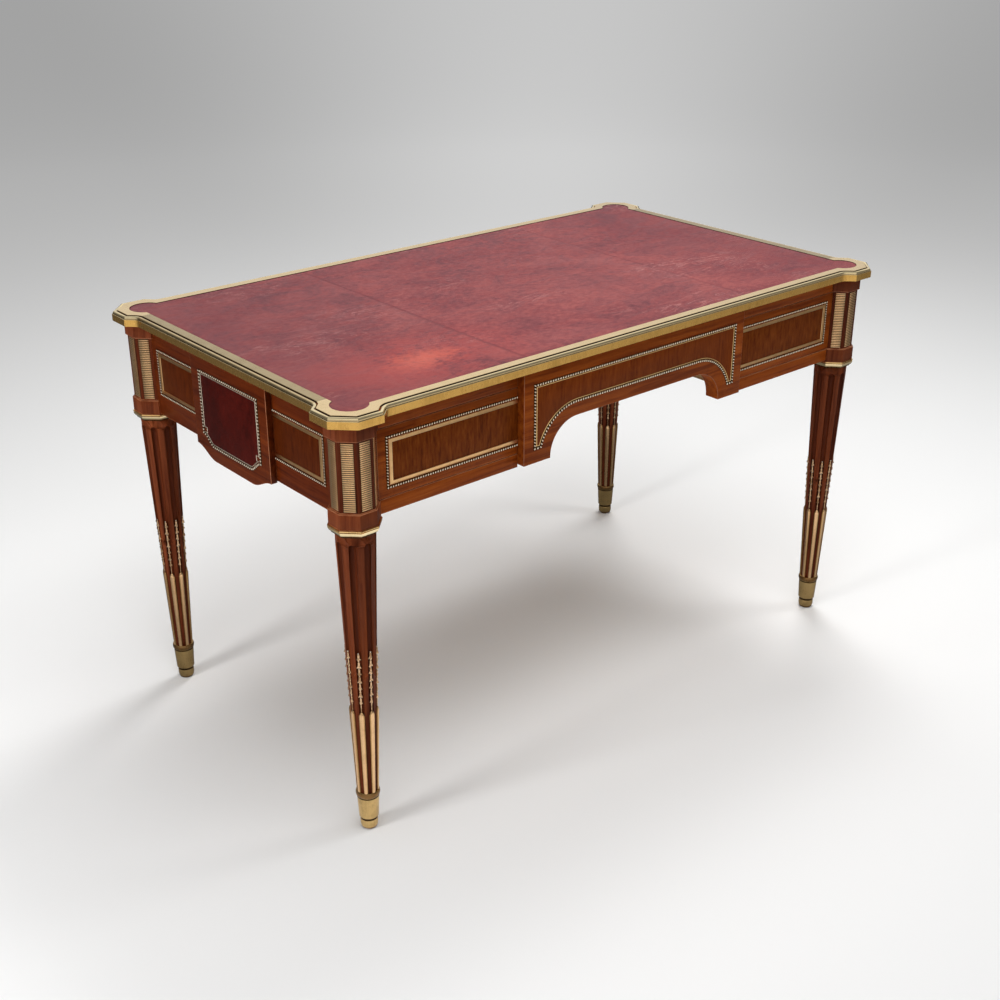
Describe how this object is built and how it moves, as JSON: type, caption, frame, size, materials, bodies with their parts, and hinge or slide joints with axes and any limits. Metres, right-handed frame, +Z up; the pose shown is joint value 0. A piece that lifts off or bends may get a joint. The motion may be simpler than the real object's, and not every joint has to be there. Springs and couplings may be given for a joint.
{
  "type": "bureau plat writing desk",
  "caption": "Flat-topped writing desk with a leather surface in a brass edge, frieze drawers that slide, a kneehole arch and fluted tapering legs in brass cups.",
  "frame": {"origin": "middle of the desk's footprint, on the floor", "axes": "+X along the length to the sitter's right, the drawers face -Y, +Z up"},
  "size_m": [1.291, 0.743, 0.77],
  "materials": {
    "mahogany": "polished",
    "oak": "plain",
    "brass": "aged gilt",
    "leather": "worn, waxed"
  },
  "bodies": {
    "carcass": {"top_panel": "mahogany", "leather_top": "leather", "brass_edge_front": "brass", "brass_edge_back": "brass", "brass_edge_left": "brass", "brass_edge_right": "brass", "brass_corner_front_left": "brass", "brass_corner_front_right": "brass", "brass_corner_back_left": "brass", "brass_corner_back_right": "brass", "leg_front_left": "mahogany", "leg_front_right": "mahogany", "leg_back_left": "mahogany", "leg_back_right": "mahogany", "foot_cup_front_left": "brass", "foot_cup_front_right": "brass", "foot_cup_back_left": "brass", "foot_cup_back_right": "brass", "collar_rings": "brass", "reeded_panels": "brass", "husk_chains": "brass", "flute_rods": "brass", "back_frieze": "mahogany", "back_centre_block": "mahogany", "end_frieze_left": "mahogany", "end_frieze_right": "mahogany", "end_tablet_left": "mahogany", "end_tablet_right": "mahogany", "tablet_leathers": "leather", "front_top_rail": "mahogany", "bottom_rail_left": "mahogany", "bottom_rail_right": "mahogany", "divider_left": "oak", "divider_right": "oak", "drawer_runners": "oak", "drawer_kickers": "oak", "glue_blocks": "oak", "back_beading": "brass", "back_flat_frames": "brass", "end_beading_left": "brass", "end_flat_frames_left": "brass", "end_beading_right": "brass", "end_flat_frames_right": "brass"},
    "drawer_left": {"drawer_left_front": "mahogany", "drawer_left_sides": "oak", "drawer_left_back": "oak", "drawer_left_bottom": "oak", "drawer_left_beading": "brass", "drawer_left_flat_frame": "brass"},
    "drawer_right": {"drawer_right_front": "mahogany", "drawer_right_sides": "oak", "drawer_right_back": "oak", "drawer_right_bottom": "oak", "drawer_right_beading": "brass", "drawer_right_flat_frame": "brass"},
    "drawer_centre": {"drawer_centre_front": "mahogany", "drawer_centre_sides": "oak", "drawer_centre_back": "oak", "drawer_centre_bottom": "oak", "drawer_centre_beading": "brass"}
  },
  "joints": [
    {"name": "drawer_left_slide", "type": "slide", "parent": "carcass", "child": "drawer_left", "axis": [0, -1, 0], "range_m": [0, 0.38]},
    {"name": "drawer_right_slide", "type": "slide", "parent": "carcass", "child": "drawer_right", "axis": [0, -1, 0], "range_m": [0, 0.38]},
    {"name": "drawer_centre_slide", "type": "slide", "parent": "carcass", "child": "drawer_centre", "axis": [0, -1, 0], "range_m": [0, 0.3]}
  ]
}
